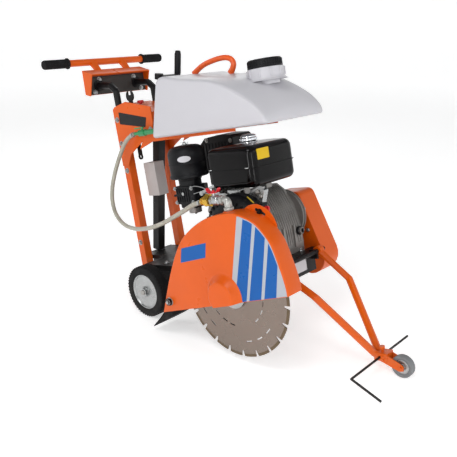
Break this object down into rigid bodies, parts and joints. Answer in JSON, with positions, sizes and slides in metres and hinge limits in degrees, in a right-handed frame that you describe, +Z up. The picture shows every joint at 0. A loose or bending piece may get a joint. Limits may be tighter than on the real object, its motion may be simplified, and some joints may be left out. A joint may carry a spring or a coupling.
{
  "type": "walk-behind concrete saw",
  "caption": "Walk-behind concrete saw with petrol engine, guarded diamond blade on the right, water tank, folding front guide, screw-adjusted front wheels and push handle.",
  "frame": {"origin": "middle of the bottom of the box round the object, measured without the hose", "axes": "+X forward along the cut, +Y to the operator's left, +Z up; the blade is on the right"},
  "size_m": [1.508, 0.657, 0.9783],
  "materials": {
    "orange_paint": "gloss powder coat",
    "black_paint": "satin powder coat",
    "black_plastic": "fine grain",
    "gloss_black": "gloss",
    "black_rubber": "matt",
    "tyre": "matt",
    "grey_rubber": "matt",
    "steel": "ground",
    "zinc": "zinc plated",
    "aluminium": "die cast",
    "cast_iron": "machined",
    "chrome": "polished",
    "white_plastic": "moulded, slightly translucent",
    "clear_plastic": "moulded, translucent",
    "red_plastic": "gloss",
    "green_plastic": "moulded",
    "hose_plastic": "translucent"
  },
  "bodies": {
    "chassis": {"chassis_frame": "black_paint", "rear_axle": "steel", "side_frame_right": "orange_paint", "side_frame_left": "orange_paint", "console_top": "orange_paint", "spindle_column": "black_paint", "tool_box": "clear_plastic", "crankcase": "aluminium", "cylinder": "aluminium", "recoil_starter": "black_plastic", "fuel_tank": "gloss_black", "air_filter": "black_plastic", "carburettor": "aluminium", "muffler": "black_paint", "bearing_right": "cast_iron", "bearing_left": "cast_iron", "belt_guard_back": "orange_paint", "belt_guard_cover": "orange_paint", "drive_belt": "black_rubber", "water_hose": "hose_plastic"},
    "engine_shaft": {"crankshaft": "steel", "drive_pulley": "cast_iron"},
    "blade_drive": {"blade_shaft": "steel", "driven_pulley": "cast_iron", "blade": "steel", "outer_flange": "zinc"},
    "recoil_grip": {"recoil_handle": "black_plastic"},
    "fuel_filler_cap": {"fuel_cap": "chrome"},
    "throttle": {"throttle_lever": "zinc"},
    "choke": {"choke_lever": "black_plastic"},
    "switch_knob": {"engine_switch": "red_plastic"},
    "rear_wheel_r": {"rear_wheel_right": "tyre"},
    "rear_wheel_l": {"rear_wheel_left": "tyre"},
    "carriage": {"wheel_carriage": "black_paint"},
    "front_wheel_r": {"front_wheel_right": "black_rubber"},
    "front_wheel_l": {"front_wheel_left": "black_rubber"},
    "lift_spindle": {"lift_screw": "steel", "crank_arm": "black_paint"},
    "crank_handle": {"crank_grip": "black_plastic"},
    "lift_nut_block": {"lift_nut": "zinc"},
    "guard": {"blade_guard": "orange_paint", "splash_flap": "black_rubber", "water_valve": "zinc"},
    "valve_handle": {"valve_lever": "red_plastic"},
    "guide": {"guide_arm_right": "orange_paint", "guide_arm_left": "orange_paint"},
    "guide_roller": {"guide_wheel": "grey_rubber"},
    "pointer": {"pointer_rod": "black_paint"},
    "tank": {"water_tank": "white_plastic", "tank_handle": "orange_paint", "tank_tap": "green_plastic"},
    "tap_handle": {"tank_tap_lever": "green_plastic"},
    "filler_cap": {"tank_cap": "black_plastic"},
    "handle": {"handle_stem_right": "black_paint", "handle_stem_left": "black_paint", "handlebar": "orange_paint", "grip_right": "black_rubber", "grip_left": "black_rubber"},
    "spanner_tool": {"spanner": "black_paint"},
    "stop_knob": {"stop_button": "red_plastic"}
  },
  "joints": [
    {"name": "blade_spin", "type": "hinge", "parent": "chassis", "child": "blade_drive", "pos_m": [0.24164, -0.2555, 0.2496], "axis": [0, 1, 0], "continuous": true},
    {"name": "crankshaft_spin", "type": "hinge", "parent": "chassis", "child": "engine_shaft", "pos_m": [0.14642, 0.0265, 0.40418], "axis": [0, 1, 0], "continuous": true},
    {"name": "recoil_pull", "type": "slide", "parent": "chassis", "child": "recoil_grip", "axis": [0.8491, 0, 0.5282], "range_m": [0, 0.3]},
    {"name": "fuel_cap_lift", "type": "slide", "parent": "chassis", "child": "fuel_filler_cap", "axis": [-0.2079, 0, 0.9781], "range_m": [0, 0.028]},
    {"name": "throttle_swing", "type": "hinge", "parent": "chassis", "child": "throttle", "pos_m": [-0.03948, -0.1135, 0.49961], "axis": [0, -1, 0], "range_deg": [-10, 30]},
    {"name": "choke_swing", "type": "hinge", "parent": "chassis", "child": "choke", "pos_m": [-0.13143, -0.1145, 0.48007], "axis": [0, 1, 0], "range_deg": [0, 35]},
    {"name": "engine_switch_turn", "type": "hinge", "parent": "chassis", "child": "switch_knob", "pos_m": [0.25099, -0.1065, 0.49899], "axis": [0.9781, 0, 0.2079], "range_deg": [0, 45]},
    {"name": "rear_wheel_right_roll", "type": "hinge", "parent": "chassis", "child": "rear_wheel_r", "pos_m": [-0.22649, -0.2195, 0.1], "axis": [0, 1, 0], "continuous": true},
    {"name": "rear_wheel_left_roll", "type": "hinge", "parent": "chassis", "child": "rear_wheel_l", "pos_m": [-0.22649, 0.2725, 0.1], "axis": [0, 1, 0], "continuous": true},
    {"name": "crank_turn", "type": "hinge", "parent": "chassis", "child": "lift_spindle", "pos_m": [-0.40328, 0.0265, 0.87231], "axis": [0.0523, 0, 0.9986], "range_deg": [0, 4716]},
    {"name": "carriage_swing", "type": "hinge", "parent": "chassis", "child": "carriage", "pos_m": [-0.22649, 0.0265, 0.1], "axis": [0, -1, 0], "range_deg": [0, 20.3]},
    {"name": "lift_nut_slide", "type": "slide", "parent": "chassis", "child": "lift_nut_block", "axis": [0.0523, 0, 0.9986], "range_m": [-0.0787, 0]},
    {"name": "front_wheel_right_roll", "type": "hinge", "parent": "carriage", "child": "front_wheel_r", "pos_m": [0.07285, -0.0675, 0.06], "axis": [0, 1, 0], "continuous": true},
    {"name": "front_wheel_left_roll", "type": "hinge", "parent": "carriage", "child": "front_wheel_l", "pos_m": [0.07285, 0.1205, 0.06], "axis": [0, 1, 0], "continuous": true},
    {"name": "crank_grip_spin", "type": "hinge", "parent": "lift_spindle", "child": "crank_handle", "pos_m": [-0.40066, 0.1265, 0.92224], "axis": [0.0523, 0, 0.9986], "continuous": true},
    {"name": "guard_lift", "type": "hinge", "parent": "chassis", "child": "guard", "pos_m": [-0.01604, -0.2735, 0.14882], "axis": [0, -1, 0], "range_deg": [0, 40], "deforming": ["water_hose"]},
    {"name": "valve_turn", "type": "hinge", "parent": "guard", "child": "valve_handle", "pos_m": [0.165, -0.2695, 0.5717], "axis": [-0.2079, 0, 0.9781], "range_deg": [0, 90]},
    {"name": "guide_fold", "type": "hinge", "parent": "chassis", "child": "guide", "pos_m": [0.30556, 0.0265, 0.29999], "axis": [0, -1, 0], "range_deg": [0, 100]},
    {"name": "guide_wheel_roll", "type": "hinge", "parent": "guide", "child": "guide_roller", "pos_m": [0.71651, 0.0265, 0.0375], "axis": [0, 1, 0], "continuous": true},
    {"name": "pointer_slide", "type": "slide", "parent": "guide", "child": "pointer", "axis": [0, 1, 0], "range_m": [-0.12, 0.14]},
    {"name": "tank_lift_off", "type": "slide", "parent": "chassis", "child": "tank", "axis": [-0.2079, 0, 0.9781], "range_m": [0, 0.4]},
    {"name": "tank_tap_turn", "type": "hinge", "parent": "tank", "child": "tap_handle", "pos_m": [-0.34786, -0.1185, 0.69987], "axis": [-0.2079, 0, 0.9781], "range_deg": [0, 90]},
    {"name": "tank_cap_lift", "type": "slide", "parent": "tank", "child": "filler_cap", "axis": [-0.2079, 0, 0.9781], "range_m": [0, 0.08]},
    {"name": "handle_height", "type": "slide", "parent": "chassis", "child": "handle", "axis": [-0.2079, 0, 0.9781], "range_m": [-0.05, 0.1]},
    {"name": "spanner_lift", "type": "slide", "parent": "chassis", "child": "spanner_tool", "axis": [-0.2079, 0, 0.9781], "range_m": [0, 0.25]},
    {"name": "stop_button_press", "type": "slide", "parent": "chassis", "child": "stop_knob", "axis": [0.2079, 0, -0.9781], "range_m": [0, 0.0035], "stiffness_N_per_m": 600}
  ],
  "couplings": [
    {"joint": "crankshaft_spin", "follows": "blade_spin", "ratio": 1},
    {"joint": "lift_nut_slide", "follows": "crank_turn", "m_per_rad": -0.00095493},
    {"joint": "carriage_swing", "follows": "crank_turn", "ratio": 0.0043}
  ]
}
